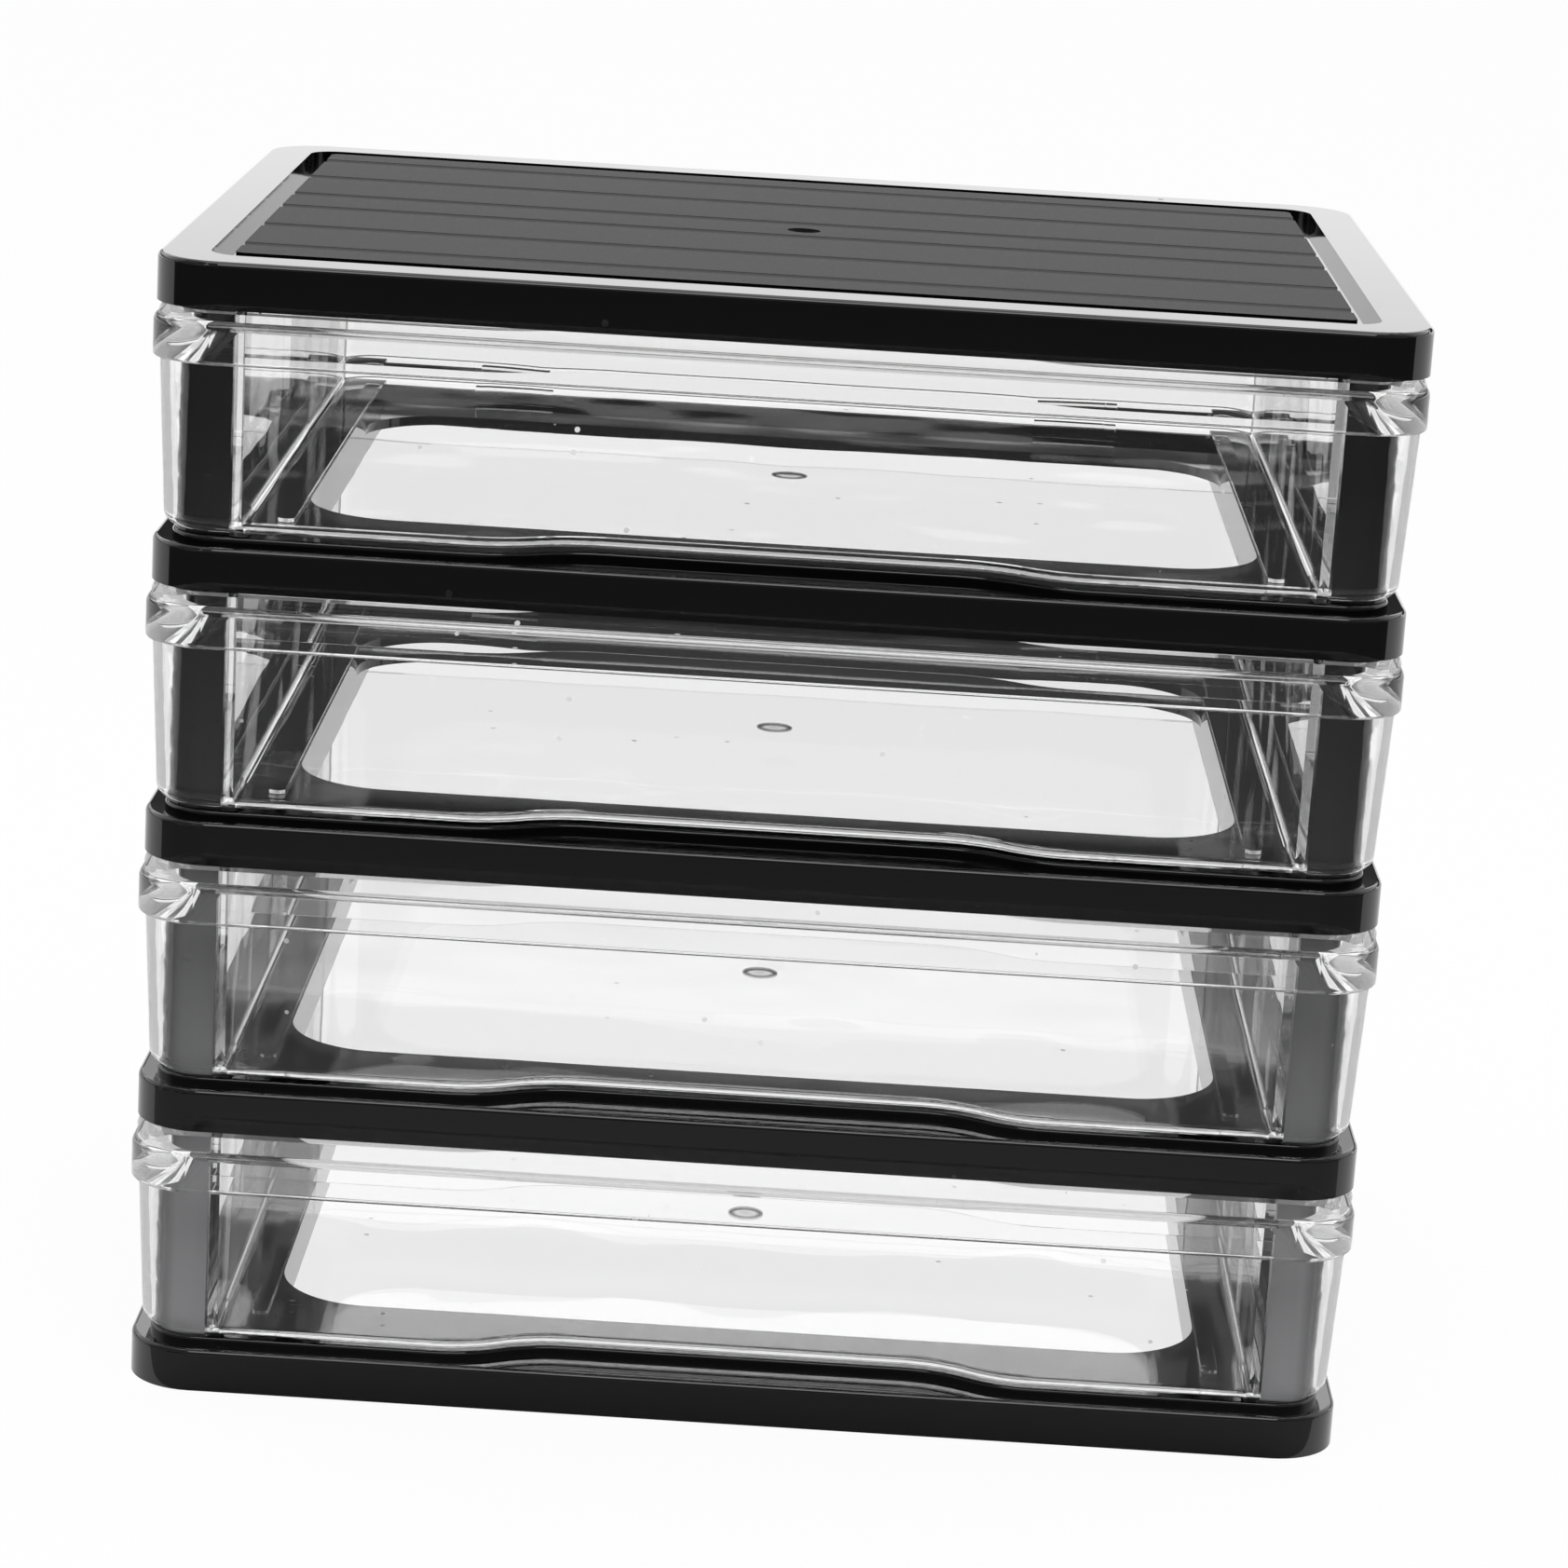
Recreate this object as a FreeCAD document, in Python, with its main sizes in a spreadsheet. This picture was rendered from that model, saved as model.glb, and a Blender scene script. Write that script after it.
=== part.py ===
import FreeCAD, Part
import math
import os
import Sketcher

# Four-tier desktop drawer unit.  Units are millimetres.
# X runs left to right, Y runs front to back, Z runs up.
# The origin is the middle of the overall footprint, on the surface the unit stands on.

DOC = FreeCAD.newDocument("drawer_unit")
SHEET = DOC.addObject("Spreadsheet::Sheet", "Sizes")
TIERS = (1, 2, 3, 4)

# name, size or formula, what it is
SIZES = (
    ("frame_width", "260", "outside width of every frame"),
    ("frame_depth", "205", "outside depth of every frame"),
    ("corner_radius", "14", "plan radius of the frame and lid corners"),
    ("tier_pitch", "58.2", "underside of one frame to underside of the next"),
    ("flange_height", "9.2", "height of the outer band of a frame"),
    ("edge_round", "1", "rounding on the top outer edges"),
    ("rise_height", "1.6", "raised step above the outer band"),
    ("rise_inset", "4", "how far the raised step sits in from the outside"),
    ("rise_round", "0.6", "rounding on the top edges of the raised step"),
    ("skirt_wall", "2.2", "moulded wall thickness of frames and lid"),
    ("side_rail", "29", "width of a frame's side rails"),
    ("front_rail", "26.5", "depth of a frame's front rail"),
    ("rear_rail", "29.5", "depth of a frame's rear rail"),
    ("window_radius", "20", "corner radius of the opening"),
    ("rear_skirt", "3", "thickness of the skirt behind the tab channel"),
    ("channel_floor", "7.1", "top of the low channel, above the frame underside"),
    ("block_margin", "4", "solid left beyond a post round its sockets"),
    ("scoop_inner", "36", "half width of the flat middle of the finger scoop"),
    ("scoop_outer", "64", "half width of the whole finger scoop"),
    ("scoop_depth", "7.5", "set-back of the finger scoop"),
    ("lid_height", "9.8", "height of the lid"),
    ("lid_overhang", "0.4", "how far the lid stands out past the frames"),
    ("border_width", "10.4", "flat border round the top of the lid"),
    ("moat_width", "5", "channel between the border and the ribbed field"),
    ("moat_depth", "3", "depth of that channel"),
    ("moat_radius", "7", "corner radius of that channel"),
    ("moat_roof", "2", "wall below that channel"),
    ("field_roof", "2.4", "wall below the ribbed field"),
    ("groove_near", "10.9", "middle of the lid to the first groove"),
    ("groove_margin", "13.6", "last groove to the edge of the field"),
    ("groove_radius", "4.6", "radius of the rounded groove bottom"),
    ("groove_depth", "0.8", "depth of a groove"),
    ("wing_gap", "0.5", "clearance between a post and the wing round it, at the bottom"),
    ("post_gap", "1.8", "clearance between a post and the panel in front of it, at the bottom"),
    ("post_width", "12", "width of a post"),
    ("post_length", "14", "front to back size of a post"),
    ("post_round", "8", "rounding on the outer corner of a post"),
    ("peg_radius", "2.5", "radius of the pegs on the post ends"),
    ("peg_length", "2.6", "length of those pegs"),
    ("socket_clearance", "0.05", "radial clearance round a peg"),
    ("socket_spare", "0.4", "depth left in a socket beyond its peg"),
    ("runner_gap", "0.1", "clearance under the drawer runners"),
    ("runner_height", "0.8", "height of a drawer runner"),
    ("runner_width", "3.4", "width of a drawer runner"),
    ("runner_round", "1.4", "rounding of the runner ends"),
    ("runner_margin", "0.3", "edge of the opening to the runner that rides beside it"),
    ("runner_front", "17", "front end of a runner, from the frame front"),
    ("runner_end", "11", "back end of a runner, in from the back of the drawer"),
    ("drawer_wall", "2", "wall thickness of a drawer"),
    ("drawer_floor", "1.6", "floor thickness of a drawer"),
    ("tub_gap", "0.8", "clearance between a drawer side and the posts beside it"),
    ("tub_back_gap", "4", "back of a drawer to the frame back"),
    ("tub_headroom", "4.2", "side and back walls of a drawer to the frame above"),
    ("tub_radius", "10", "back corner radius of a drawer"),
    ("tub_round", "3", "rounding along the bottom of a drawer"),
    ("panel_inset", "0.2", "how far the wings sit in from the frame sides, at the top"),
    ("panel_draft", "2", "inward slope of the panel from top to bottom"),
    ("panel_radius", "12", "corner radius of the drawer panel"),
    ("wing_margin", "2", "how far the wings reach back past the front posts"),
    ("lip_gap", "0.5", "top of the pull lip to the frame above"),
    ("lip_inset", "1", "how far the pull lip sits in from the frame sides"),
    ("lip_drop", "8.7", "height of the pull lip"),
    ("lip_reach", "13", "how far the pull lip stands out"),
    ("lip_wall", "2", "thickness of the pull lip"),
    ("lip_radius", "13", "corner radius of the pull lip"),
    ("grip_slant", "5.6", "how far each end of the hollow behind the lip leans in to its top"),
    ("lip_round", "1.6", "rounding on the top edge of the pull lip"),
    ("lip_edge", "0.6", "rounding on the bottom edges of the pull lip"),
    ("tab_inset", "32.5", "side of the opening to the middle of a stop tab"),
    ("tab_width", "18", "width of a stop tab"),
    ("tab_set_in", "8", "back of a drawer to the front face of its stop tabs"),
    ("tab_thickness", "2.5", "thickness of a stop tab"),
    ("tab_gap", "0.8", "clearance under a stop tab"),
    ("gate_radius", "3.7", "radius of the round moulding marks under a floor and on the lid"),
    ("gate_depth", "0.5", "depth of those marks"),
    ("front", "=lip_reach - (lip_reach + frame_depth + lid_overhang) / 2", "Y of the frame front"),
    ("back", "=front + frame_depth", "Y of the frame back"),
    ("half_width", "=frame_width / 2", "half width of a frame"),
    ("deck", "=flange_height + rise_height", "top of the raised step"),
    ("window_half", "=half_width - side_rail", "half width of the opening"),
    ("window_back", "=frame_depth - rear_rail", "back of the opening, from the frame front"),
    ("channel_back", "=frame_depth - rear_skirt", "back of the tab channel"),
    ("channel_under", "=channel_floor - skirt_wall", "underside of the tab channel"),
    ("hollow_top", "=flange_height - skirt_wall", "roof of the hollows under the rails"),
    ("roof_edge", "=lid_height - moat_depth - moat_roof", "roof of the hollow under the border"),
    ("roof_field", "=lid_height - field_roof", "roof of the hollow under the ribbed field"),
    ("groove_step", "=(frame_depth / 2 + lid_overhang - border_width - moat_width"
     " - groove_margin - groove_near) / 2", "groove to groove"),
    ("panel_half", "=half_width - panel_inset", "half width over the wings at the top"),
    ("lip_half", "=half_width - lip_inset", "half width of the pull lip"),
    ("lip_top", "=tier_pitch - lip_gap", "top of the pull lip"),
    ("post_middle", "=panel_half - panel_draft - drawer_wall - wing_gap - post_width / 2",
     "middle of the unit to a post middle"),
    ("post_set_back", "=panel_draft + drawer_wall + post_gap", "frame front or back to a post"),
    ("post_row", "=post_set_back + post_length / 2", "frame front or back to a post middle"),
    ("post_block", "=post_set_back + post_length + block_margin", "solid corner for the pegs"),
    ("post_height", "=tier_pitch - deck", "length of a post between its pegs"),
    ("socket_depth", "=peg_length + socket_spare", "depth of a peg socket"),
    ("wing_end", "=post_set_back + post_length + wing_margin", "back end of the wings"),
    ("tub_half", "=post_middle - post_width / 2 - tub_gap", "half width over a drawer's sides"),
    ("tub_back", "=frame_depth - tub_back_gap", "back of a drawer, from the frame front"),
    ("tub_top", "=tier_pitch - tub_headroom", "top of the side and back walls"),
    ("runner_middle", "=window_half + runner_margin + runner_width / 2", "middle of a runner"),
    ("runner_back", "=tub_back - runner_end", "back end of a runner, from the frame front"),
    ("tab_middle", "=window_half - tab_inset", "middle of the unit to the middle of a stop tab"),
    ("tab_front", "=tub_back - tab_set_in", "front face of a stop tab, from the frame front"),
    ("tab_bottom", "=channel_floor + tab_gap", "bottom of a stop tab"),
    ("floor_under", "=deck + runner_gap + runner_height", "underside of a drawer floor"),
    ("floor_top", "=floor_under + drawer_floor", "top of a drawer floor"),
    ("floor_round", "=tub_round - drawer_wall", "rounding inside, where the walls meet the floor"),
    ("scoop_mid", "=(scoop_inner + scoop_outer) / 2", "middle of the scoop curve"),
    ("scoop_run", "=scoop_outer - scoop_inner", "length of the scoop curve"),
    ("scoop_radius", "=(scoop_run * scoop_run + scoop_depth * scoop_depth) / (4 * scoop_depth)",
     "radius of the two arcs of the scoop curve"),
    ("stack_height", "=%d * tier_pitch" % len(TIERS), "underside of the lid"),
)

for row, (name, size, note) in enumerate(SIZES, start=1):
    SHEET.set("A%d" % row, name)
    SHEET.set("B%d" % row, size)
    SHEET.set("C%d" % row, note)
    SHEET.setAlias("B%d" % row, name)
DOC.recompute()


def formula(text):
    """Turn size names into references to the sheet."""
    words = {name for name, size, note in SIZES}
    out, word = "", ""
    for mark in text + " ":
        if mark.isalnum() or mark == "_":
            word += mark
            continue
        out += ("Sizes." + word if word in words else word) + mark
        word = ""
    return out.strip()


def number(text):
    """The value of a formula, in millimetres."""
    result = SHEET.evalExpression(formula(text))
    return float(getattr(result, "Value", result))


def bind(item, field, text):
    item.setExpression(field, formula(text))


def arc_through(start, end, radius, left):
    """Short arc from start to end, with its centre on the left or the right."""
    chord = end - start
    rise = math.sqrt(max(radius * radius - chord.Length ** 2 / 4, 0))
    across = FreeCAD.Vector(-chord.y, chord.x, 0).normalize()
    centre = (start + end) / 2 + across * (rise if left else -rise)
    first, last = (start, end) if left else (end, start)
    angles = [math.atan2(p.y - centre.y, p.x - centre.x) for p in (first, last)]
    circle = Part.Circle(centre, FreeCAD.Vector(0, 0, 1), radius)
    return Part.ArcOfCircle(circle, angles[0], angles[1])


def sketch(body, name, height, *loops):
    """A fully dimensioned sketch at a height.

    A loop is a list of corners (x, y) with, between corners that are joined by an arc,
    an entry (radius, "left" or "right") that says where the centre of the arc lies.
    """
    item = body.newObject("Sketcher::SketchObject", name)
    plane = [f for f in body.Origin.OriginFeatures if f.Role == "XY_Plane"][0]
    item.AttachmentSupport = [(plane, "")]
    item.MapMode = "FlatFace"
    bind(item, "AttachmentOffset.Base.z", height)
    for loop in loops:
        draw_loop(item, loop)
    return item


def draw_loop(item, loop):
    corners, arcs = [], {}
    for entry in loop:
        if entry[1] in ("left", "right"):
            arcs[len(corners) - 1] = entry
        else:
            corners.append(entry)
    points = [FreeCAD.Vector(number(x), number(y), 0) for x, y in corners]
    ends = []
    for i, start in enumerate(points):
        end = points[(i + 1) % len(points)]
        if i in arcs:
            radius, side = arcs[i]
            edge = item.addGeometry(arc_through(start, end, number(radius), side == "left"))
            item.addConstraint(Sketcher.Constraint("Radius", edge, number(radius)))
            bind(item, "Constraints[%d]" % (item.ConstraintCount - 1), radius)
            ends.append((edge, 1, 2) if side == "left" else (edge, 2, 1))
        else:
            edge = item.addGeometry(Part.LineSegment(start, end))
            ends.append((edge, 1, 2))
    for i, (x, y) in enumerate(corners):
        edge, begin, finish = ends[i]
        last_edge, last_begin, last_finish = ends[i - 1]
        item.addConstraint(Sketcher.Constraint("Coincident", last_edge, last_finish, edge, begin))
        for kind, text in (("DistanceX", x), ("DistanceY", y)):
            item.addConstraint(Sketcher.Constraint(kind, -1, 1, edge, begin, number(text)))
            bind(item, "Constraints[%d]" % (item.ConstraintCount - 1), text)


def rounded_between(left, right, near, far, radius):
    """Rectangle with four round corners."""
    return [
        ("%s + %s" % (left, radius), near), ("%s - %s" % (right, radius), near),
        (radius, "left"), (right, "%s + %s" % (near, radius)),
        (right, "%s - %s" % (far, radius)), (radius, "left"),
        ("%s - %s" % (right, radius), far), ("%s + %s" % (left, radius), far),
        (radius, "left"), (left, "%s - %s" % (far, radius)),
        (left, "%s + %s" % (near, radius)), (radius, "left"),
    ]


def rounded(half, near, far, radius):
    """The same, as wide on the left of the middle as on the right."""
    return rounded_between("-(%s)" % half, "(%s)" % half, near, far, radius)


def rectangle(left, right, near, far):
    return [(left, near), (right, near), (right, far), (left, far)]


def scoop(line):
    """The front line from left to right, curving back to the finger scoop and out again."""
    middle = "%s + scoop_depth / 2" % line
    inner = "%s + scoop_depth" % line
    return [
        ("-scoop_outer", line), ("scoop_radius", "left"), ("-scoop_mid", middle),
        ("scoop_radius", "right"), ("-scoop_inner", inner), ("scoop_inner", inner),
        ("scoop_radius", "right"), ("scoop_mid", middle), ("scoop_radius", "left"),
        ("scoop_outer", line),
    ]


def pad(body, name, outline, length):
    item = body.newObject("PartDesign::Pad", name)
    item.Profile = outline
    bind(item, "Length", length)
    body.Tip = item
    return item


def pocket(body, name, outline, length):
    """Cut downwards from a sketch."""
    item = body.newObject("PartDesign::Pocket", name)
    item.Profile = outline
    bind(item, "Length", length)
    body.Tip = item
    return item


def loft(body, kind, name, lower, upper):
    item = body.newObject("PartDesign::" + kind, name)
    item.Profile = lower
    item.Sections = [upper]
    item.Ruled = True
    body.Tip = item
    return item


def round_edges(body, name, radius, wanted):
    """Round every edge of the tip that the test accepts."""
    DOC.recompute()
    tip = body.Tip
    names = ["Edge%d" % (i + 1) for i, edge in enumerate(tip.Shape.Edges) if wanted(edge)]
    item = body.newObject("PartDesign::Fillet", name)
    item.Base = (tip, names)
    bind(item, "Radius", radius)
    body.Tip = item
    return item


def level(edge, height):
    """True for an edge that lies flat at a height."""
    box = edge.BoundBox
    return abs(box.ZMin - height) < 0.01 and abs(box.ZMax - height) < 0.01


def new_body(name):
    body = DOC.addObject("PartDesign::Body", name)
    body.Label = name
    return body


def gate_mark(body, name, y, z):
    """The shallow round mark that moulding leaves in the middle of a panel."""
    mark = body.newObject("PartDesign::SubtractiveCylinder", name)
    bind(mark, "Radius", "gate_radius")
    bind(mark, "Height", "gate_depth")
    bind(mark, "Placement.Base.y", y)
    bind(mark, "Placement.Base.z", z)
    body.Tip = mark


def peg_sockets(body, name, top, deep):
    """Four round sockets, one over or under each post."""
    outline = sketch(body, name + "_outline", top)
    for side in ("-", ""):
        for y in ("front + post_row", "back - post_row"):
            centre = FreeCAD.Vector(number(side + "post_middle"), number(y), 0)
            radius = "peg_radius + socket_clearance"
            ring = Part.Circle(centre, FreeCAD.Vector(0, 0, 1), number(radius))
            edge = outline.addGeometry(ring)
            outline.addConstraint(Sketcher.Constraint("Radius", edge, number(radius)))
            bind(outline, "Constraints[%d]" % (outline.ConstraintCount - 1), radius)
            for kind, text in (("DistanceX", side + "post_middle"), ("DistanceY", y)):
                mark = Sketcher.Constraint(kind, -1, 1, edge, 3, number(text))
                outline.addConstraint(mark)
                bind(outline, "Constraints[%d]" % (outline.ConstraintCount - 1), text)
    pocket(body, name, outline, deep)


def frame(name, tier):
    """One ring-shaped frame: outer band, raised step, opening and tab channel."""
    body = new_body(name)
    outer = sketch(body, name + "_band_outline", "0",
                   rounded("half_width", "front", "back", "corner_radius"))
    pad(body, name + "_band", outer, "flange_height")
    top = number("flange_height")
    round_edges(body, name + "_band_round", "edge_round", lambda edge: level(edge, top))
    raised_step(body, name)
    window = sketch(body, name + "_opening_outline", "deck",
                    rounded("window_half", "front + front_rail", "front + window_back",
                            "window_radius"))
    pocket(body, name + "_opening", window, "deck")
    channel = sketch(body, name + "_channel_outline", "deck",
                     rectangle("-window_half", "window_half",
                               "front + window_back - window_radius", "front + channel_back"))
    pocket(body, name + "_channel", channel, "deck - channel_floor")
    rear = sketch(body, name + "_rear_gap_outline", "deck",
                  rectangle("-window_half", "window_half", "front + window_back", "back"))
    pocket(body, name + "_rear_gap", rear, "rise_height")
    frame_hollows(body, name)
    peg_sockets(body, name + "_upper_sockets", "deck", "socket_depth")
    if tier > 1:
        peg_sockets(body, name + "_lower_sockets", "socket_depth", "socket_depth")
    bind(body, "Placement.Base.z", "%d * tier_pitch" % (tier - 1))
    return body


def raised_step(body, name):
    near = "front + rise_inset"
    far = "back - rise_inset"
    half = "(half_width - rise_inset)"
    radius = "(corner_radius - rise_inset)"
    loop = [("-%s + %s" % (half, radius), near)] + scoop(near) + rounded(half, near, far, radius)[1:]
    outline = sketch(body, name + "_step_outline", "flange_height", loop)
    pad(body, name + "_step", outline, "rise_height")
    top = number("deck")
    round_edges(body, name + "_step_round", "rise_round", lambda edge: level(edge, top))


def frame_hollows(body, name):
    """Hollows that keep the moulded walls of a frame even, cut from below."""
    front_rail = sketch(body, name + "_front_hollow_outline", "hollow_top",
                        rectangle("-window_half", "window_half", "front + skirt_wall",
                                  "front + front_rail - skirt_wall"))
    pocket(body, name + "_front_hollow", front_rail, "hollow_top")
    inner = "(window_half + skirt_wall)"
    outer = "(half_width - skirt_wall)"
    near = "front + post_block"
    far = "back - post_block"
    side_rails = sketch(body, name + "_side_hollows_outline", "hollow_top",
                        rectangle("-" + outer, "-" + inner, near, far),
                        rectangle(inner, outer, near, far))
    pocket(body, name + "_side_hollows", side_rails, "hollow_top")
    under = sketch(body, name + "_channel_hollow_outline", "channel_under",
                   rectangle("-window_half", "window_half",
                             "front + window_back - window_radius", "front + channel_back"))
    pocket(body, name + "_channel_hollow", under, "channel_under")


def lid():
    """The lid: flat border, channel, and a grooved field flush with the border."""
    body = new_body("lid")
    half = "(half_width + lid_overhang)"
    near = "front - lid_overhang"
    far = "back + lid_overhang"
    outer = sketch(body, "lid_outline", "0", rounded(half, near, far, "corner_radius"))
    pad(body, "lid_slab", outer, "lid_height")
    top = number("lid_height")
    round_edges(body, "lid_round", "edge_round", lambda edge: level(edge, top))
    border = "border_width"
    field = "(border_width + moat_width)"
    moat = sketch(body, "lid_channel_outline", "lid_height",
                  rounded("%s - %s" % (half, border), "%s + %s" % (near, border),
                          "%s - %s" % (far, border), "moat_radius"),
                  rounded("%s - %s" % (half, field), "%s + %s" % (near, field),
                          "%s - %s" % (far, field), "(moat_radius - moat_width)"))
    pocket(body, "lid_channel", moat, "moat_depth")
    lid_grooves(body)
    gate_mark(body, "lid_gate_mark", "(front + back) / 2", "lid_height - gate_depth")
    lid_hollows(body, half, near, far)
    peg_sockets(body, "lid_sockets", "socket_depth", "socket_depth")
    bind(body, "Placement.Base.z", "stack_height")
    return body


def lid_grooves(body):
    """Six rounded grooves from side to side, in mirrored pairs about the middle."""
    reach = "half_width - border_width - moat_width / 2"
    for count in range(3):
        for side, mark in (("front", "-"), ("back", "")):
            groove = body.newObject("PartDesign::SubtractiveCylinder",
                                    "lid_groove_%s_%d" % (side, count + 1))
            groove.Placement.Rotation = FreeCAD.Rotation(FreeCAD.Vector(0, 1, 0), 90)
            bind(groove, "Radius", "groove_radius")
            bind(groove, "Height", "2 * (%s)" % reach)
            bind(groove, "Placement.Base.x", "-(%s)" % reach)
            bind(groove, "Placement.Base.y",
                 "(front + back) / 2 %s (groove_near + %d * groove_step)" % (mark or "+", count))
            bind(groove, "Placement.Base.z", "lid_height + groove_radius - groove_depth")
            body.Tip = groove


def lid_hollows(body, half, near, far):
    wall = "skirt_wall"
    side = "(%s - post_block)" % half
    edge = "(%s - %s)" % (half, wall)
    front_wall, front_block = "%s + %s" % (near, wall), "%s + post_block" % near
    back_wall, back_block = "%s - %s" % (far, wall), "%s - post_block" % far
    cross = [
        ("-" + side, front_wall), (side, front_wall), (side, front_block), (edge, front_block),
        (edge, back_block), (side, back_block), (side, back_wall), ("-" + side, back_wall),
        ("-" + side, back_block), ("-" + edge, back_block), ("-" + edge, front_block),
        ("-" + side, front_block),
    ]
    pocket(body, "lid_hollow", sketch(body, "lid_hollow_outline", "roof_edge", cross), "roof_edge")
    inset = "(border_width + moat_width + skirt_wall)"
    middle = sketch(body, "lid_field_hollow_outline", "roof_field",
                    rectangle("-%s + %s" % (half, "post_block"), side,
                              "%s + %s" % (near, inset), "%s - %s" % (far, inset)))
    pocket(body, "lid_field_hollow", middle, "roof_field")


def post(name, tier, side, row):
    """One corner post with a peg on each end; its outer corner is rounded."""
    body = new_body(name)
    x_sign = "" if side == "right" else "-"
    y_sign = "-" if row == "front" else ""
    turn = "left" if (side == "right") == (row == "front") else "right"
    corners = (
        ("-post_width / 2", "post_length / 2"), ("post_width / 2 - post_round", "post_length / 2"),
        None, ("post_width / 2", "post_length / 2 - post_round"),
        ("post_width / 2", "-post_length / 2"), ("-post_width / 2", "-post_length / 2"),
    )
    loop = [(x_sign + "(%s)" % c[0], y_sign + "(%s)" % c[1]) if c else ("post_round", turn)
            for c in corners]
    pad(body, name + "_shaft", sketch(body, name + "_outline", "0", loop), "post_height")
    for end, start in (("lower", "-peg_length"), ("upper", "post_height")):
        peg = body.newObject("PartDesign::AdditiveCylinder", "%s_%s_peg" % (name, end))
        bind(peg, "Radius", "peg_radius")
        bind(peg, "Height", "peg_length")
        bind(peg, "Placement.Base.z", start)
        body.Tip = peg
    bind(body, "Placement.Base.x", x_sign + "post_middle")
    bind(body, "Placement.Base.y", "front + post_row" if row == "front" else "back - post_row")
    bind(body, "Placement.Base.z", "%d * tier_pitch + deck" % (tier - 1))
    return body


def drawer(name, tier):
    """One clear drawer, moulded in one: tub, curved front panel with wings, and pull lip."""
    body = new_body(name)
    tub_block(body, name)
    panel_block(body, name)
    lip_block(body, name)
    hollow_tub(body, name)
    hollow_wings(body, name)
    underside(body, name)
    bind(body, "Placement.Base.z", "%d * tier_pitch" % (tier - 1))
    return body


def tub_block(body, name):
    half, far, radius = "tub_half", "front + tub_back", "tub_radius"
    near = "front + wing_end / 2"
    outline = sketch(body, name + "_tub_outline", "floor_under", [
        ("-tub_half", near), (half, near), (half, "%s - %s" % (far, radius)), (radius, "left"),
        ("%s - %s" % (half, radius), far), ("-%s + %s" % (half, radius), far), (radius, "left"),
        ("-tub_half", "%s - %s" % (far, radius)),
    ])
    pad(body, name + "_tub", outline, "tub_top - floor_under")
    bottom, start = number("floor_under"), number(near)
    round_edges(body, name + "_tub_round", "tub_round",
                lambda edge: level(edge, bottom) and edge.BoundBox.YMax > start + 0.01)


def panel_loop(half, line):
    """Outline of the front panel: finger scoop in front, round corners, open wings behind."""
    return [("-(%s) + panel_radius" % half, line)] + scoop(line) + [
        ("%s - panel_radius" % half, line), ("panel_radius", "left"),
        (half, line + " + panel_radius"), (half, "front + wing_end"),
        ("-(%s)" % half, "front + wing_end"), ("-(%s)" % half, line + " + panel_radius"),
        ("panel_radius", "left"),
    ]


def panel_block(body, name):
    lower = sketch(body, name + "_panel_lower", "floor_under",
                   panel_loop("panel_half - panel_draft", "front + panel_draft"))
    upper = sketch(body, name + "_panel_upper", "lip_top", panel_loop("panel_half", "front"))
    loft(body, "AdditiveLoft", name + "_panel", lower, upper)
    bottom, stop = number("floor_under"), number("front + wing_end")
    round_edges(body, name + "_panel_round", "tub_round",
                lambda edge: level(edge, bottom) and edge.BoundBox.YMin < stop - 0.01)


def lip_block(body, name):
    """The pull lip: a ledge that stands out in front, with a skirt hanging from its edge."""
    near, half, radius = "front - lip_reach", "lip_half", "lip_radius"
    outline = sketch(body, name + "_lip_outline", "lip_top - lip_drop", [
        ("-%s + %s" % (half, radius), near), ("%s - %s" % (half, radius), near),
        (radius, "left"), (half, "%s + %s" % (near, radius)), (half, "front + wing_end"),
        ("-" + half, "front + wing_end"), ("-" + half, "%s + %s" % (near, radius)),
        (radius, "left"),
    ])
    pad(body, name + "_lip", outline, "lip_drop")
    top, stop = number("lip_top"), number("front + wing_end")
    round_edges(body, name + "_lip_round", "lip_round",
                lambda edge: level(edge, top) and edge.BoundBox.YMin < stop - 0.01)
    near = "front - lip_reach + lip_wall"
    radius = "(lip_radius - lip_wall)"
    outlines = []
    for label, height, slant in (("lower", "lip_top - lip_drop", "0"),
                                 ("upper", "lip_top - lip_wall", "grip_slant")):
        half = "(lip_half - lip_wall - %s)" % slant
        outlines.append(sketch(body, "%s_grip_%s" % (name, label), height,
                               [("-" + half, "%s + %s" % (near, radius))] + scoop("front") + [
                                   (half, "%s + %s" % (near, radius)), (radius, "right"),
                                   ("%s - %s" % (half, radius), near),
                                   ("-%s + %s" % (half, radius), near), (radius, "right"),
                               ]))
    loft(body, "SubtractiveLoft", name + "_grip", *outlines)
    foot, face = number("lip_top - lip_drop"), number("front")
    round_edges(body, name + "_lip_edge", "lip_edge",
                lambda edge: level(edge, foot) and edge.BoundBox.YMin < face - 0.01)


def hollow_tub(body, name):
    half = "(tub_half - drawer_wall)"
    far = "front + tub_back - drawer_wall"
    radius = "(tub_radius - drawer_wall)"
    outlines = []
    for label, height, line in (("lower", "floor_top", "front + panel_draft + drawer_wall"),
                                ("upper", "lip_top", "front + drawer_wall")):
        outlines.append(sketch(body, "%s_inside_%s" % (name, label), height,
                               [("-" + half, line)] + scoop(line) + [
                                   (half, line), (half, "%s - %s" % (far, radius)),
                                   (radius, "left"), ("%s - %s" % (half, radius), far),
                                   ("-%s + %s" % (half, radius), far), (radius, "left"),
                                   ("-" + half, "%s - %s" % (far, radius))]))
    loft(body, "SubtractiveLoft", name + "_inside", *outlines)
    bottom = number("floor_top")
    round_edges(body, name + "_floor_round", "floor_round", lambda edge: level(edge, bottom))


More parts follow.
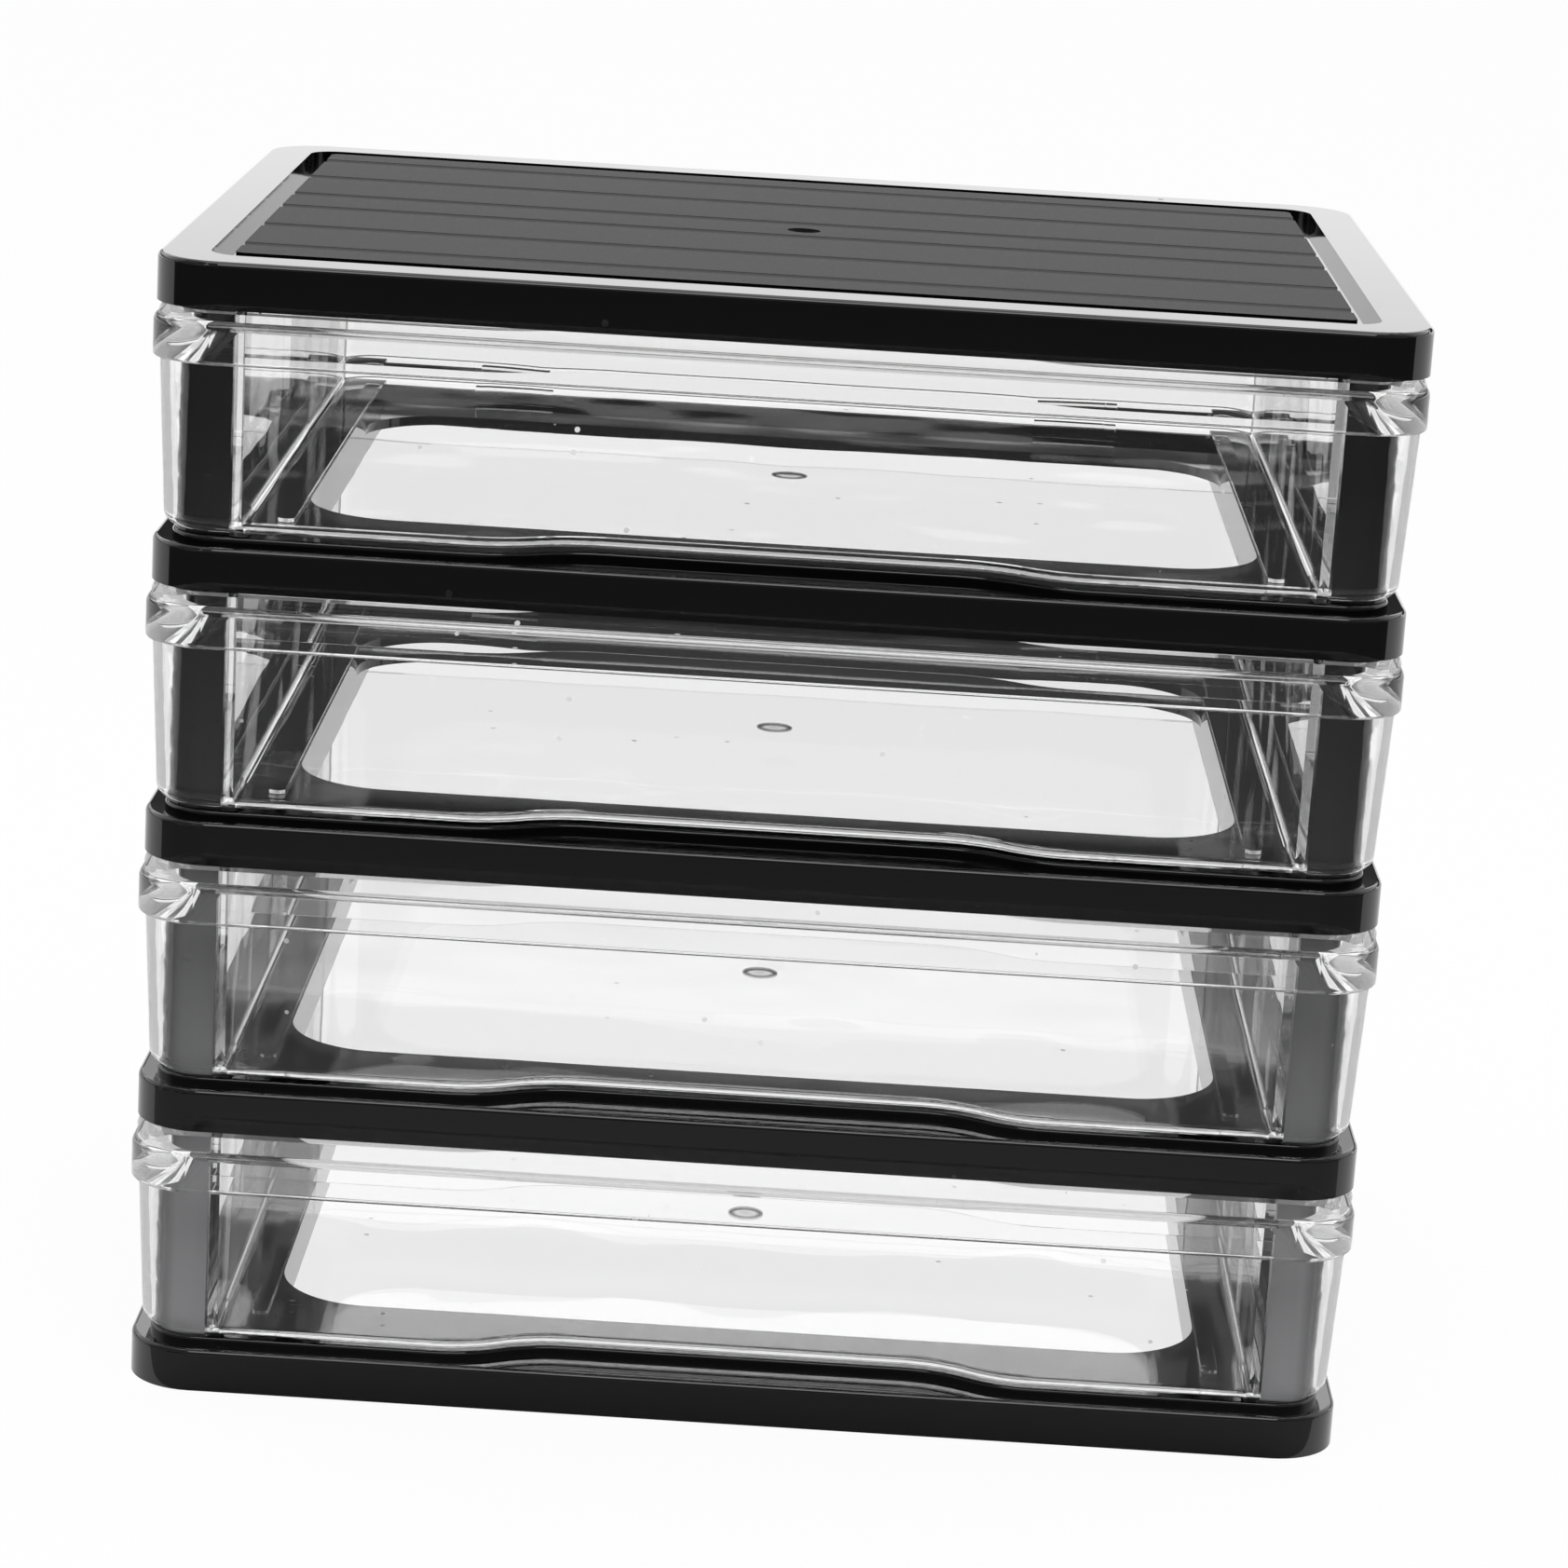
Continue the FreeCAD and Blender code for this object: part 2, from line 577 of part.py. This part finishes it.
def hollow_wings(body, name):
    """Clear the space behind each wing, where the front posts stand."""
    radius = "(panel_radius - drawer_wall)"
    far = "front + wing_end + drawer_wall"
    for side in ("left", "right"):
        outlines = []
        for label, height, draft in (("lower", "floor_under", "panel_draft"),
                                     ("upper", "lip_top", "0")):
            near = "front + drawer_wall + " + draft
            outer = "(panel_half - drawer_wall - %s)" % draft
            right = [("tub_half", near), ("%s - %s" % (outer, radius), near), (radius, "left"),
                     (outer, "%s + %s" % (near, radius)), (outer, far), ("tub_half", far)]
            left = [("-tub_half", far), ("-" + outer, far),
                    ("-" + outer, "%s + %s" % (near, radius)), (radius, "left"),
                    ("-%s + %s" % (outer, radius), near), ("-tub_half", near)]
            outlines.append(sketch(body, "%s_%s_wing_%s" % (name, side, label), height,
                                   right if side == "right" else left))
        loft(body, "SubtractiveLoft", "%s_%s_wing" % (name, side), *outlines)


def underside(body, name):
    """Runners, stop tabs and the round moulding mark under the floor."""
    sides = (("left", "-"), ("right", ""))
    half = "runner_width / 2"
    loops = [rounded_between("%srunner_middle - %s" % (sign, half),
                             "%srunner_middle + %s" % (sign, half),
                             "front + runner_front", "front + runner_back", "runner_round")
             for side, sign in sides]
    runners = sketch(body, name + "_runner_outlines", "floor_under - runner_height", *loops)
    pad(body, name + "_runners", runners, "runner_height")
    tabs = sketch(body, name + "_stop_tab_outlines", "tab_bottom", *[
        rectangle("%stab_middle - tab_width / 2" % sign, "%stab_middle + tab_width / 2" % sign,
                  "front + tab_front", "front + tab_front + tab_thickness")
        for side, sign in sides])
    pad(body, name + "_stop_tabs", tabs, "floor_under - tab_bottom + drawer_floor / 2")
    gate_mark(body, name + "_gate_mark", "front + tub_back / 2", "floor_under")


def check_and_write(nodes):
    DOC.recompute()
    for item in DOC.Objects:
        if "Invalid" in item.State or "Error" in item.State:
            raise RuntimeError("%s: %s" % (item.Name, item.State))
    os.makedirs("parts", exist_ok=True)
    for node in nodes:
        shape = node.Shape
        if shape.isNull() or not shape.isValid():
            raise RuntimeError(node.Label + " has no valid shape")
        print(node.Label, "solids", len(shape.Solids), "volume", round(shape.Volume))
        shape.exportStep("parts/%s.step" % node.Label)


FRAME_NAMES = ("base_frame", "shelf_frame_1", "shelf_frame_2", "shelf_frame_3")

nodes = [lid()]
for tier, frame_name in zip(TIERS, FRAME_NAMES):
    nodes.append(frame(frame_name, tier))
    nodes.append(drawer("drawer_%d" % tier, tier))
    for row in ("front", "back"):
        for side in ("left", "right"):
            nodes.append(post("post_%d_%s_%s" % (tier, row, side), tier, side, row))
check_and_write(nodes)
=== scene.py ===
import math

import bpy
from mathutils import Matrix, Vector

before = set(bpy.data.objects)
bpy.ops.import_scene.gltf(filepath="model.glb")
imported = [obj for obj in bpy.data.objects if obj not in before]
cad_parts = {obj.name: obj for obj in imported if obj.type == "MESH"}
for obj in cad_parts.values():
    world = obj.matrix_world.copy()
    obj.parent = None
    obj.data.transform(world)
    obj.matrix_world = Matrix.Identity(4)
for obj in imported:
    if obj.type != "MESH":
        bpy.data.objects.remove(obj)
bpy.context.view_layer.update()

# Desktop drawer unit: black polystyrene frames, posts and lid, clear polystyrene drawers.
# Lengths are metres.  X is left to right, Y front to back, Z up.


def linear(hex_colour):
    """An sRGB hex colour as linear red, green, blue and alpha."""
    parts = [int(hex_colour[i:i + 2], 16) / 255 for i in (1, 3, 5)]
    scaled = [c / 12.92 if c <= 0.04045 else ((c + 0.055) / 1.055) ** 2.4 for c in parts]
    return (*scaled, 1.0)


def add_node(tree, kind, settings=None, **links):
    """Add a shader node and return it.

    Settings name its attributes or sockets; stops are a scale's pairs of a place and a grey.
    Links name the sockets to feed, from a socket or from a node's first output.
    """
    item = tree.nodes.new(kind)
    for name, value in (settings or {}).items():
        if name == "stops":
            scale = item.color_ramp
            while len(scale.elements) < len(value):
                scale.elements.new(0.5)
            for element, (place, grey) in zip(scale.elements, value):
                element.position = place
                element.color = (grey, grey, grey, 1)
        elif isinstance(name, str) and hasattr(item, name):
            setattr(item, name, value)
        else:
            item.inputs[name].default_value = value
    for name, source in links.items():
        place = int(name[1:]) if name[0] == "_" and name[1:].isdigit() else name.replace("_", " ")
        socket = source if isinstance(source, bpy.types.NodeSocket) else source.outputs[0]
        tree.links.new(socket, item.inputs[place])
    return item


def new_material(name):
    material = bpy.data.materials.new(name)
    material.use_nodes = True
    tree = material.node_tree
    tree.nodes.clear()
    return material, tree


def finish_material(tree, shader):
    add_node(tree, "ShaderNodeOutputMaterial", Surface=shader)


def box_of(name):
    """Lowest and highest corner of a CAD node, in its own coordinates."""
    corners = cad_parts[name].bound_box
    return [tuple(pick(corner[axis] for corner in corners) for axis in range(3))
            for pick in (min, max)]


# ---------------------------------------------------------------- sizes and finishes

BLACK_STYRENE = linear("#0B0B0C")
# the pale grey painted onto the lower posts' front faces as light
PAINTED_LIGHT_GREY = linear("#B4B4B6")
PAPER = linear("#F0F0F0")
WHITE = (1, 1, 1, 1)
BLACK_IOR = 1.53
CLEAR_IOR = 1.59

# patterns: how far apart or how long they are
CLOUD_SIZE = 0.025
SKIN_SIZE = 0.025
BLACK_SPECKS = 0.014
CLEAR_SPECKS = 0.011
SPECK_RADIUS = 0.055      # as a share of the spacing of the specks
GRAIN_SIZE = 0.0005
FLOW_SIZE = 0.04
PAINTED_LIGHT_HEIGHT = 0.25        # the painted light on the posts' front faces is scaled to run up to here

# a face that should mirror more than this share is past its critical angle or seen edge-on,
# and lets this much through
CRITICAL_SHARE = 0.98
LEAK_SHARE = 0.5

# the grained field of the lid lies inside its flat border and the channel beside it
LID_LOW, LID_HIGH = box_of("lid")
FIELD_MARGIN = 0.0154
FIELD_HALF = LID_HIGH[0] - FIELD_MARGIN
FIELD_DEPTH = LID_HIGH[1] - LID_LOW[1] - 2 * FIELD_MARGIN
FIELD_MIDDLE = (LID_LOW[1] + LID_HIGH[1]) / 2
FIELD_TOP = LID_HIGH[2]
TOP_MARGIN = 0.0001       # what lies less than this below the top of the field counts as top

# the front of the frames, and the moulding mark in the middle of each drawer floor
FRONT = box_of("base_frame")[0][1]
GATE_Y = (FRONT + box_of("drawer_1")[1][1]) / 2
GATE_RADIUS = 0.0037

# light and floor
FLOOR_SIZE = 12.0
FLOOR_GLOW = 0.95         # the rest of the floor's white is lit paper, which holds the shadow
STUDIO_LEVEL = 2.0        # brightness of the studio's lamp in reflections, where 1 is white
LAMP_AIM = (0.0, 0.0, 0.1)

# camera: azimuth, elevation and roll in degrees, sensor and lens in millimetres, and a place
CAMERA_TURNS = (0.44, 14.13, 3.43)
CAMERA_SENSOR = 36.0
CAMERA_LENS = 109.36
CAMERA_PLACE = (0.01103, -1.04962, 0.3816)


# ---------------------------------------------------------------- materials

def specks(tree, place, spacing, share):
    """1 on sparse round specks, spacing metres apart; share is how many places carry one."""
    dots = add_node(tree, "ShaderNodeTexVoronoi", {"Scale": 1 / spacing}, Vector=place)
    near = add_node(tree, "ShaderNodeMath", {"operation": "LESS_THAN", 1: SPECK_RADIUS},
                    _0=dots.outputs["Distance"])
    chance = add_node(tree, "ShaderNodeSeparateColor", Color=dots.outputs["Color"])
    chosen = add_node(tree, "ShaderNodeMath", {"operation": "LESS_THAN", 1: share},
                      _0=chance.outputs["Red"])
    return add_node(tree, "ShaderNodeMath", {"operation": "MULTIPLY"}, _0=near, _1=chosen)


def black_gloss(tree, place):
    """Roughness and normal of polished black styrene: cloudy, slightly wavy, a few dust specks."""
    # cloudy gloss, patches about 25 mm across
    cloud = add_node(tree, "ShaderNodeTexNoise", {"Scale": 1 / CLOUD_SIZE, "Detail": 4.0},
                     Vector=place)
    gloss = add_node(tree, "ShaderNodeMapRange", {"To Min": 0.03, "To Max": 0.07},
                     Value=cloud.outputs["Fac"])
    dust = add_node(tree, "ShaderNodeMath", {"operation": "MULTIPLY", 1: 0.6},
                    _0=specks(tree, place, BLACK_SPECKS, 0.3))
    rough = add_node(tree, "ShaderNodeMath", {"operation": "MAXIMUM"},
                     _0=gloss.outputs["Result"], _1=dust)
    # slight unevenness of the moulded skin, about 25 mm long
    wave = add_node(tree, "ShaderNodeTexNoise", {"Scale": 1 / SKIN_SIZE, "Detail": 1.0},
                    Vector=place)
    skin = add_node(tree, "ShaderNodeBump", {"Strength": 0.05, "Distance": 0.0004},
                    Height=wave.outputs["Fac"])
    return rough, skin.outputs["Normal"]


def moulded_black_polystyrene():
    """High-impact polystyrene from a polished mould: deep black with a clear gloss.

    Cloudy handling marks and a few dust specks keep its reflections from being perfectly even.
    """
    material, tree = new_material("Moulded_black_polystyrene")
    place = add_node(tree, "ShaderNodeTexCoord").outputs["Object"]
    rough, normal = black_gloss(tree, place)
    body = add_node(tree, "ShaderNodeBsdfPrincipled",
                    {"Base Color": BLACK_STYRENE, "IOR": BLACK_IOR}, Roughness=rough,
                    Normal=normal)
    finish_material(tree, body)
    return material


def black_posts_with_painted_light():
    """The posts' black polystyrene, with painted light on the front faces near the ground.

    The lower posts look grey behind the clear wings and the upper ones black.  What greys them
    isn't known; it is painted as light, a paler base colour on the front faces that thins out with
    height.
    """
    material, tree = new_material("Black_polystyrene_posts_painted_light")
    place = add_node(tree, "ShaderNodeTexCoord").outputs["Object"]
    rough, normal = black_gloss(tree, place)
    height = add_node(tree, "ShaderNodeSeparateXYZ", Vector=place)
    # painted light: front faces get a paler base colour near the ground, fading out with height
    share_up = add_node(tree, "ShaderNodeMath", {"operation": "DIVIDE", 1: PAINTED_LIGHT_HEIGHT},
                        _0=height.outputs["Z"])
    low = add_node(tree, "ShaderNodeValToRGB",
                   {"stops": ((0.0, 1.0), (0.2, 0.9), (0.26, 0.6), (0.44, 0.5), (0.52, 0.03),
                              (1.0, 0.0))}, Fac=share_up)
    geometry = add_node(tree, "ShaderNodeNewGeometry")
    facing = add_node(tree, "ShaderNodeSeparateXYZ", Vector=geometry.outputs["Normal"])
    front = add_node(tree, "ShaderNodeMapRange", {"From Min": -0.6, "From Max": -0.95},
                     Value=facing.outputs["Y"])
    amount = add_node(tree, "ShaderNodeMath", {"operation": "MULTIPLY"}, _0=low, _1=front)
    painted_light_colour = add_node(tree, "ShaderNodeMix",
                    {"data_type": "RGBA", 6: BLACK_STYRENE, 7: PAINTED_LIGHT_GREY}, _0=amount)
    body = add_node(tree, "ShaderNodeBsdfPrincipled", {"IOR": BLACK_IOR},
                    Base_Color=painted_light_colour.outputs[2], Roughness=rough, Normal=normal)
    finish_material(tree, body)
    return material


def spark_textured_black_lid():
    """The lid's black polystyrene: glossy border, and a field the mould was spark-textured for.

    The grained field scatters the lamp, so it looks dark satin beside the mirror-bright border,
    and its polished grooves stand out as thin lines.
    """
    material, tree = new_material("Spark_textured_black_polystyrene_lid")
    place = add_node(tree, "ShaderNodeTexCoord").outputs["Object"]
    rough, normal = black_gloss(tree, place)
    parts = add_node(tree, "ShaderNodeSeparateXYZ", Vector=place)
    across = add_node(tree, "ShaderNodeMath", {"operation": "COMPARE", 1: 0.0, 2: FIELD_HALF},
                      _0=parts.outputs["X"])
    along = add_node(tree, "ShaderNodeMath",
                     {"operation": "COMPARE", 1: FIELD_MIDDLE, 2: FIELD_DEPTH / 2},
                     _0=parts.outputs["Y"])
    top = add_node(tree, "ShaderNodeMath",
                   {"operation": "GREATER_THAN", 1: FIELD_TOP - TOP_MARGIN}, _0=parts.outputs["Z"])
    inside = add_node(tree, "ShaderNodeMath", {"operation": "MULTIPLY"}, _0=across, _1=along)
    grained = add_node(tree, "ShaderNodeMath", {"operation": "MULTIPLY"}, _0=inside, _1=top)
    # spark-eroded grain: usually under 0.1 mm, too fine to show, so it is drawn at 0.5 mm
    grain = add_node(tree, "ShaderNodeTexNoise", {"Scale": 1 / GRAIN_SIZE, "Detail": 2.0},
                     Vector=place)
    matte = add_node(tree, "ShaderNodeMapRange", {"To Min": 0.42, "To Max": 0.6},
                     Value=grain.outputs["Fac"])
    roughness = add_node(tree, "ShaderNodeMix", {"data_type": "FLOAT"}, _0=grained, _2=rough,
                         _3=matte)
    shine = add_node(tree, "ShaderNodeMix", {"data_type": "FLOAT", 2: 0.5, 3: 0.16}, _0=grained)
    body = add_node(tree, "ShaderNodeBsdfPrincipled",
                    {"Base Color": BLACK_STYRENE, "IOR": BLACK_IOR},
                    Roughness=roughness, Specular_IOR_Level=shine, Normal=normal)
    finish_material(tree, body)
    return material


def clear_polystyrene():
    """General-purpose polystyrene from a polished mould: water clear, with slight flow waves.

    It bends light as polystyrene does, and the side walls mirror it as polystyrene does, so that
    they look pale seen from the front.  Two things are made unlike the real plastic.  Past the
    critical angle half of the light is let out, so that walls seen end-on show fine dark and
    bright lines and not solid black.  The gloss of the other faces is kept low, so that what lies
    under a drawer floor stays visible.
    """
    material, tree = new_material("Moulded_clear_polystyrene")
    place = add_node(tree, "ShaderNodeTexCoord").outputs["Object"]
    # flow waves of the moulding, about 40 mm long
    wave = add_node(tree, "ShaderNodeTexNoise", {"Scale": 1 / FLOW_SIZE, "Detail": 1.0},
                    Vector=place)
    skin = add_node(tree, "ShaderNodeBump", {"Strength": 0.25, "Distance": 0.0006},
                    Height=wave.outputs["Fac"])
    normal = skin.outputs["Normal"]
    # the round mark of the moulding gate under the floor: its sunken rim is painted as shade,
    # a grey disc with a dark ring darkened into the refraction colour
    parts = add_node(tree, "ShaderNodeSeparateXYZ", Vector=place)
    behind_gate = add_node(tree, "ShaderNodeMath", {"operation": "SUBTRACT", 1: GATE_Y},
                           _0=parts.outputs["Y"])
    flat_place = add_node(tree, "ShaderNodeCombineXYZ", X=parts.outputs["X"], Y=behind_gate)
    radius = add_node(tree, "ShaderNodeVectorMath", {"operation": "LENGTH"}, _0=flat_place)
    out_from_gate = add_node(tree, "ShaderNodeMath",
                             {"operation": "DIVIDE", 1: 2 * GATE_RADIUS},
                             _0=radius.outputs["Value"])
    gate_painted_shade = add_node(tree, "ShaderNodeValToRGB",
                    {"stops": ((0.0, 0.74), (0.3, 0.84), (0.4, 0.6), (0.46, 0.32), (0.53, 0.5),
                               (0.56, 1.0))}, Fac=out_from_gate)
    # how much a face mirrors: the true share on the side walls, less than that on the others
    fresnel = add_node(tree, "ShaderNodeFresnel", {"IOR": CLEAR_IOR}, Normal=normal)
    flat = add_node(tree, "ShaderNodeValToRGB",
                    {"stops": ((0.0, 0.0), (0.05, 0.04), (0.2, 0.06), (0.45, 0.05), (0.97, 0.2),
                               (0.99, 1.0))}, Fac=fresnel)
    geometry = add_node(tree, "ShaderNodeNewGeometry")
    facing = add_node(tree, "ShaderNodeSeparateXYZ", Vector=geometry.outputs["Normal"])
    sideways = add_node(tree, "ShaderNodeMath", {"operation": "ABSOLUTE"}, _0=facing.outputs["X"])
    steep = add_node(tree, "ShaderNodeMapRange", {"From Min": 0.6, "From Max": 0.9},
                     Value=sideways)
    mirror = add_node(tree, "ShaderNodeMix", {"data_type": "FLOAT"}, _0=steep, _2=flat,
                      _3=fresnel)
    # hair scratches and dust: a fine roughness on sparse specks
    dust = add_node(tree, "ShaderNodeMath", {"operation": "MULTIPLY", 1: 0.5},
                    _0=specks(tree, place, CLEAR_SPECKS, 0.25))
    bent = add_node(tree, "ShaderNodeBsdfRefraction", {"IOR": CLEAR_IOR}, Color=gate_painted_shade,
                    Roughness=dust, Normal=normal)
    gloss = add_node(tree, "ShaderNodeBsdfGlossy",
                     {"Color": WHITE, "Roughness": 0.01}, Normal=normal)
    both = add_node(tree, "ShaderNodeMixShader", _0=mirror, _1=bent, _2=gloss)
    # the half of the light that leaves past the critical angle
    leak = add_node(tree, "ShaderNodeBsdfRefraction",
                    {"Color": WHITE, "IOR": 1.0, "Roughness": 0.0})
    critical = add_node(tree, "ShaderNodeMath",
                        {"operation": "GREATER_THAN", 1: CRITICAL_SHARE}, _0=fresnel)
    share = add_node(tree, "ShaderNodeMath", {"operation": "MULTIPLY", 1: LEAK_SHARE},
                     _0=critical)
    whole = add_node(tree, "ShaderNodeMixShader", _0=share, _1=both, _2=leak)
    finish_material(tree, whole)
    return material


BLACK = moulded_black_polystyrene()
LID = spark_textured_black_lid()
POST = black_posts_with_painted_light()
CLEAR = clear_polystyrene()

FINISHES = {"drawer": CLEAR, "lid": LID, "post": POST}
for name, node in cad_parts.items():
    finish = FINISHES.get(name.split("_")[0], BLACK)
    node.data.materials.clear()
    node.data.materials.append(finish)


# ---------------------------------------------------------------- floor, light and camera

def seen_directly(tree):
    """1 for a ray from the camera, straight or through clear plastic, and 0 once it is mirrored."""
    path = add_node(tree, "ShaderNodeLightPath")
    bounces = add_node(tree, "ShaderNodeMath", {"operation": "ADD"},
                       _0=path.outputs["Glossy Depth"], _1=path.outputs["Diffuse Depth"])
    straight = add_node(tree, "ShaderNodeMath", {"operation": "LESS_THAN", 1: 0.5}, _0=bounces)
    through = add_node(tree, "ShaderNodeMath", {"operation": "MULTIPLY"},
                       _0=path.outputs["Is Transmission Ray"], _1=straight)
    return add_node(tree, "ShaderNodeMath", {"operation": "MAXIMUM"},
                    _0=path.outputs["Is Camera Ray"], _1=through)


def pale_floor():
    """A sweep of white paper with the unit's own soft shadow on it.

    To the eye and through clear plastic it is white, and so it is behind the unit.  In
    reflections in front its colour is painted light, palest near the unit, fading into a darker
    studio floor.
    """
    material, tree = new_material("White_paper_floor")
    path = add_node(tree, "ShaderNodeLightPath")
    seen = seen_directly(tree)
    place = add_node(tree, "ShaderNodeTexCoord").outputs["Object"]
    depth = add_node(tree, "ShaderNodeSeparateXYZ", Vector=place)
    behind = add_node(tree, "ShaderNodeMath", {"operation": "GREATER_THAN", 1: FRONT},
                      _0=depth.outputs["Y"])
    bounced = add_node(tree, "ShaderNodeMath", {"operation": "MAXIMUM"},
                       _0=path.outputs["Is Glossy Ray"], _1=path.outputs["Is Transmission Ray"])
    mirrored = add_node(tree, "ShaderNodeMath", {"operation": "MULTIPLY"}, _0=behind, _1=bounced)
    white_to = add_node(tree, "ShaderNodeMath", {"operation": "MAXIMUM"}, _0=seen, _1=mirrored)
    share = add_node(tree, "ShaderNodeMath", {"operation": "MULTIPLY", 1: FLOOR_GLOW}, _0=white_to)
    reach = add_node(tree, "ShaderNodeVectorMath", {"operation": "LENGTH"}, _0=place)
    # painted light: in reflections the paper is palest near the unit and darker further out
    lit = add_node(tree, "ShaderNodeValToRGB", {"stops": ((0.2, 0.42), (0.45, 0.22), (0.9, 0.09))},
                   Fac=reach.outputs["Value"])
    tone = add_node(tree, "ShaderNodeMix", {"data_type": "RGBA", 7: PAPER}, _0=seen, _6=lit)
    paper = add_node(tree, "ShaderNodeBsdfDiffuse", Color=tone.outputs[2])
    white = add_node(tree, "ShaderNodeEmission", {"Color": WHITE, "Strength": 1.0})
    finish_material(tree, add_node(tree, "ShaderNodeMixShader", _0=share, _1=paper, _2=white))
    bpy.ops.mesh.primitive_plane_add(size=FLOOR_SIZE)
    floor = bpy.context.object
    floor.name = "floor"
    floor.data.materials.append(material)


def studio_world():
    """White to the eye and through glass; for light and reflections, a plain studio.

    Behind the unit stand a low white backdrop and, above a dark gap, a large soft lamp.
    The side in front is darker.
    """
    world = bpy.data.worlds.new("studio")
    bpy.context.scene.world = world
    world.use_nodes = True
    tree = world.node_tree
    tree.nodes.clear()
    seen = seen_directly(tree)
    direction = add_node(tree, "ShaderNodeTexCoord").outputs["Generated"]
    parts = add_node(tree, "ShaderNodeSeparateXYZ", Vector=direction)
    height = add_node(tree, "ShaderNodeValToRGB",
                      {"stops": ((0.0, 0.75), (0.155, 0.75), (0.17, 0.02), (0.255, 0.03),
                                 (0.305, 0.6), (0.355, 1.0), (0.6, 0.6), (1.0, 0.5))},
                      Fac=parts.outputs["Z"])
    around = add_node(tree, "ShaderNodeMapRange", {"From Min": -1.0, "From Max": 1.0},
                      Value=parts.outputs["Y"])
    facing = add_node(tree, "ShaderNodeValToRGB", {"stops": ((0.0, 0.2), (0.4, 0.3), (0.6, 1.0))},
                      Fac=around)
    level = add_node(tree, "ShaderNodeMath", {"operation": "MULTIPLY"}, _0=height, _1=facing)
    lit = add_node(tree, "ShaderNodeMath", {"operation": "MULTIPLY", 1: STUDIO_LEVEL}, _0=level)
    strength = add_node(tree, "ShaderNodeMix", {"data_type": "FLOAT", 3: 1.0}, _0=seen, _2=lit)
    glow = add_node(tree, "ShaderNodeBackground", {"Color": WHITE}, Strength=strength)
    add_node(tree, "ShaderNodeOutputWorld", Surface=glow)


def softbox(name, place, width, height, brightness):
    """A flat lamp of an even brightness, where 1 is as bright as white, turned to the unit."""
    lamp = bpy.data.lights.new(name, "AREA")
    lamp.shape = "RECTANGLE"
    lamp.size, lamp.size_y = width, height
    lamp.energy = brightness * math.pi * width * height
    item = bpy.data.objects.new(name, lamp)
    bpy.context.scene.collection.objects.link(item)
    item.location = place
    item.rotation_euler = (Vector(LAMP_AIM) - Vector(place)).to_track_quat("-Z", "Y").to_euler()


def camera():
    """A camera in front of the unit and above it, slightly rolled."""
    azimuth, elevation, roll = (math.radians(turn) for turn in CAMERA_TURNS)
    back = Vector((math.sin(azimuth) * math.cos(elevation),
                   -math.cos(azimuth) * math.cos(elevation), math.sin(elevation)))
    level = Vector((math.cos(azimuth), math.sin(azimuth), 0))
    upright = back.cross(level)
    right = math.cos(roll) * level + math.sin(roll) * upright
    up = math.cos(roll) * upright - math.sin(roll) * level
    data = bpy.data.cameras.new("camera")
    data.sensor_width = CAMERA_SENSOR
    data.lens = CAMERA_LENS
    item = bpy.data.objects.new("camera", data)
    bpy.context.scene.collection.objects.link(item)
    turn = Matrix((right, up, back)).transposed().to_4x4()
    item.matrix_world = Matrix.Translation(CAMERA_PLACE) @ turn
    bpy.context.scene.camera = item


pale_floor()
studio_world()
softbox("top_softbox", (0.0, -0.1, 1.6), width=1.4, height=1.0, brightness=1.5)
softbox("front_softbox", (0.0, -1.3, 1.5), width=1.2, height=0.8, brightness=4.0)
camera()
bpy.context.scene.view_settings.view_transform = "Standard"
